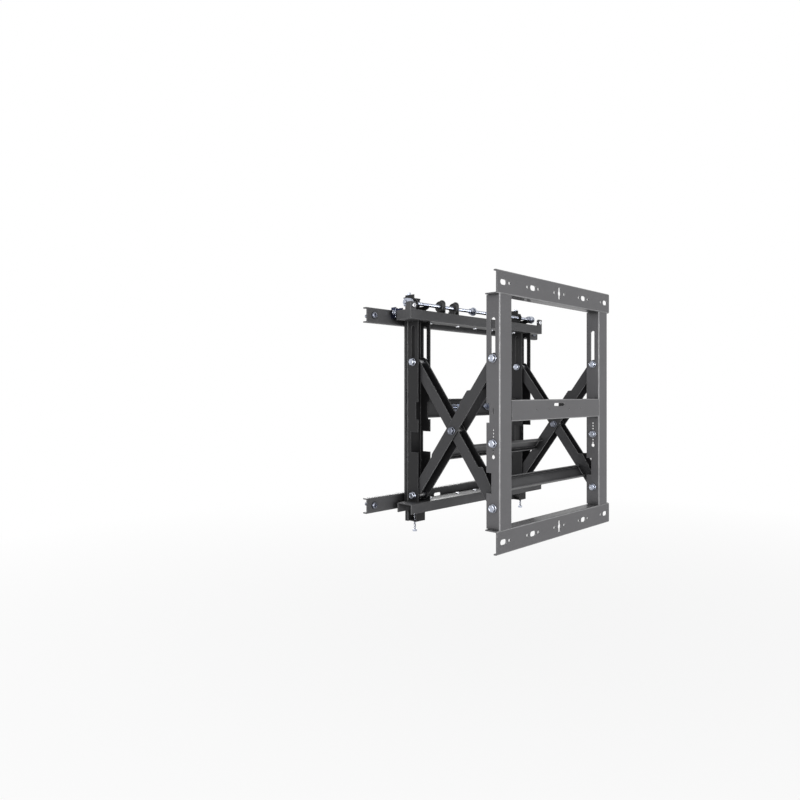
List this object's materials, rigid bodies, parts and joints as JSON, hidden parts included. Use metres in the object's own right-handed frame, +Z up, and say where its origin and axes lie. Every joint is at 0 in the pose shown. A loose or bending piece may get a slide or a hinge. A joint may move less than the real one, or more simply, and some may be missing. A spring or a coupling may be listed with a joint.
{
  "type": "pop-out tv wall mount",
  "caption": "Folded-steel wall mount that pushes a screen out on a scissor mechanism, with hooks and bars that adjust it sideways and in height.",
  "frame": {"origin": "centre of the wall crossbar's face that lies on the wall, halfway between the wall rails", "axes": "+Y into the wall, +Z up, +X to the right of someone who faces the screen; the screen is at -Y"},
  "size_m": [0.64, 0.288, 0.546],
  "materials": {
    "powder_coat": "fine-texture anthracite powder coat on folded steel",
    "zinc_plate": "bright blue-white zinc plate",
    "sleeve_steel": "plain drawn steel tube",
    "bush_nylon": "black nylon",
    "wheel_black": "knurled black",
    "latch_plastic": "moulded black"
  },
  "bodies": {
    "wall_frame": {"wall_rail_left": "powder_coat", "wall_rail_right": "powder_coat", "wall_plate_top": "powder_coat", "wall_plate_bottom": "powder_coat", "wall_crossbar": "powder_coat", "wall_bolts": "zinc_plate", "wall_nuts": "zinc_plate", "wall_bushes": "bush_nylon", "latch_housing_left": "latch_plastic", "latch_housing_right": "latch_plastic", "latch_screws": "zinc_plate"},
    "latch_plunger_left": {"latch_plunger_left": "latch_plastic"},
    "latch_plunger_right": {"latch_plunger_right": "latch_plastic"},
    "inner_arms": {"inner_arm_left": "powder_coat", "inner_arm_right": "powder_coat", "inner_torsion_plate": "powder_coat", "inner_sleeves": "sleeve_steel", "front_slide_bolts": "zinc_plate", "front_slide_nuts": "zinc_plate", "front_slide_bushes": "bush_nylon"},
    "outer_arms": {"outer_arm_left": "powder_coat", "outer_arm_right": "powder_coat", "outer_torsion_plate": "powder_coat", "outer_sleeves": "sleeve_steel", "wall_slide_bolts": "zinc_plate", "wall_slide_nuts": "zinc_plate", "wall_slide_bushes": "bush_nylon", "centre_bolts": "zinc_plate", "centre_nuts": "zinc_plate", "outer_arm_washers": "zinc_plate"},
    "front_frame": {"front_rail_left": "powder_coat", "front_rail_right": "powder_coat", "front_top_beam": "powder_coat", "front_bottom_beam": "powder_coat", "front_mid_bar": "powder_coat", "front_pivot_bolts": "zinc_plate", "front_pivot_nuts": "zinc_plate", "beam_screws": "zinc_plate", "catch_plates": "zinc_plate", "bottom_stiffener": "powder_coat", "adjust_block": "powder_coat", "beam_end_caps": "powder_coat"},
    "adjust_wheel_inner": {"adjust_wheel_inner": "wheel_black"},
    "adjust_wheel_outer": {"adjust_wheel_outer": "wheel_black"},
    "carriage": {"hook_rod": "zinc_plate", "rod_nuts": "zinc_plate", "hook_bracket_left": "powder_coat", "hook_bracket_right": "powder_coat"},
    "height_screw_left": {"height_screw_left": "zinc_plate"},
    "height_screw_right": {"height_screw_right": "zinc_plate"},
    "lock_screw_left": {"lock_screw_left": "zinc_plate"},
    "lock_screw_right": {"lock_screw_right": "zinc_plate"},
    "bar_frame": {"bar_link_left": "powder_coat", "bar_link_right": "powder_coat", "carrier_bar_upper": "powder_coat", "carrier_bar_lower": "powder_coat", "carrier_screws": "zinc_plate", "side_lock_clips": "zinc_plate"},
    "side_lock_screw_left": {"side_lock_screw_left": "zinc_plate"},
    "side_lock_screw_right": {"side_lock_screw_right": "zinc_plate"}
  },
  "joints": [
    {"name": "fold", "type": "hinge", "parent": "wall_frame", "child": "inner_arms", "pos_m": [0, -0.016, -0.186], "axis": [-1, 0, 0], "range_deg": [0, 29.27]},
    {"name": "scissor_centre", "type": "hinge", "parent": "inner_arms", "child": "outer_arms", "pos_m": [0, -0.123, -0.04125], "axis": [-1, 0, 0], "range_deg": [-59.04, 0]},
    {"name": "front_pivot", "type": "hinge", "parent": "outer_arms", "child": "front_frame", "pos_m": [0, -0.23, -0.186], "axis": [-1, 0, 0], "range_deg": [0, 29.77]},
    {"name": "carriage_slide", "type": "slide", "parent": "front_frame", "child": "carriage", "axis": [1, 0, 0], "range_m": [-0.01, 0.01]},
    {"name": "height_adjust", "type": "slide", "parent": "carriage", "child": "bar_frame", "axis": [0, 0, 1], "range_m": [-0.005, 0.005]},
    {"name": "adjust_wheel_inner_turn", "type": "hinge", "parent": "front_frame", "child": "adjust_wheel_inner", "pos_m": [0, -0.228, 0.2305], "axis": [1, 0, 0], "range_deg": [-2890, 2890]},
    {"name": "adjust_wheel_outer_turn", "type": "hinge", "parent": "front_frame", "child": "adjust_wheel_outer", "pos_m": [0, -0.228, 0.2305], "axis": [1, 0, 0], "range_deg": [-2890, 2890]},
    {"name": "height_screw_left_turn", "type": "hinge", "parent": "carriage", "child": "height_screw_left", "pos_m": [-0.203, -0.2545, 0.2463], "axis": [0, 0, 1], "range_deg": [-2260, 2260]},
    {"name": "lock_screw_left_turn", "type": "hinge", "parent": "carriage", "child": "lock_screw_left", "pos_m": [-0.201, -0.238, -0.243], "axis": [0, 0, -1], "range_deg": [0, 1080]},
    {"name": "side_lock_screw_left_turn", "type": "hinge", "parent": "bar_frame", "child": "side_lock_screw_left", "pos_m": [-0.23, -0.2495, 0.209], "axis": [-1, 0, 0], "range_deg": [0, 1080]},
    {"name": "latch_plunger_left_push", "type": "slide", "parent": "wall_frame", "child": "latch_plunger_left", "axis": [0, 1, 0], "range_m": [0, 0.006], "stiffness_N_per_m": 300},
    {"name": "height_screw_right_turn", "type": "hinge", "parent": "carriage", "child": "height_screw_right", "pos_m": [0.203, -0.2545, 0.2463], "axis": [0, 0, 1], "range_deg": [-2260, 2260]},
    {"name": "lock_screw_right_turn", "type": "hinge", "parent": "carriage", "child": "lock_screw_right", "pos_m": [0.201, -0.238, -0.243], "axis": [0, 0, -1], "range_deg": [0, 1080]},
    {"name": "side_lock_screw_right_turn", "type": "hinge", "parent": "bar_frame", "child": "side_lock_screw_right", "pos_m": [0.23, -0.2495, 0.209], "axis": [1, 0, 0], "range_deg": [0, 1080]},
    {"name": "latch_plunger_right_push", "type": "slide", "parent": "wall_frame", "child": "latch_plunger_right", "axis": [0, 1, 0], "range_m": [0, 0.006], "stiffness_N_per_m": 300}
  ],
  "couplings": [
    {"joint": "scissor_centre", "follows": "fold", "ratio": -2},
    {"joint": "front_pivot", "follows": "fold", "ratio": 1},
    {"joint": "adjust_wheel_inner_turn", "follows": "carriage_slide", "rad_per_m": 5026.5},
    {"joint": "adjust_wheel_outer_turn", "follows": "carriage_slide", "rad_per_m": 5026.5},
    {"joint": "height_screw_left_turn", "follows": "height_adjust", "rad_per_m": 7854},
    {"joint": "height_screw_right_turn", "follows": "height_adjust", "rad_per_m": 7854}
  ]
}
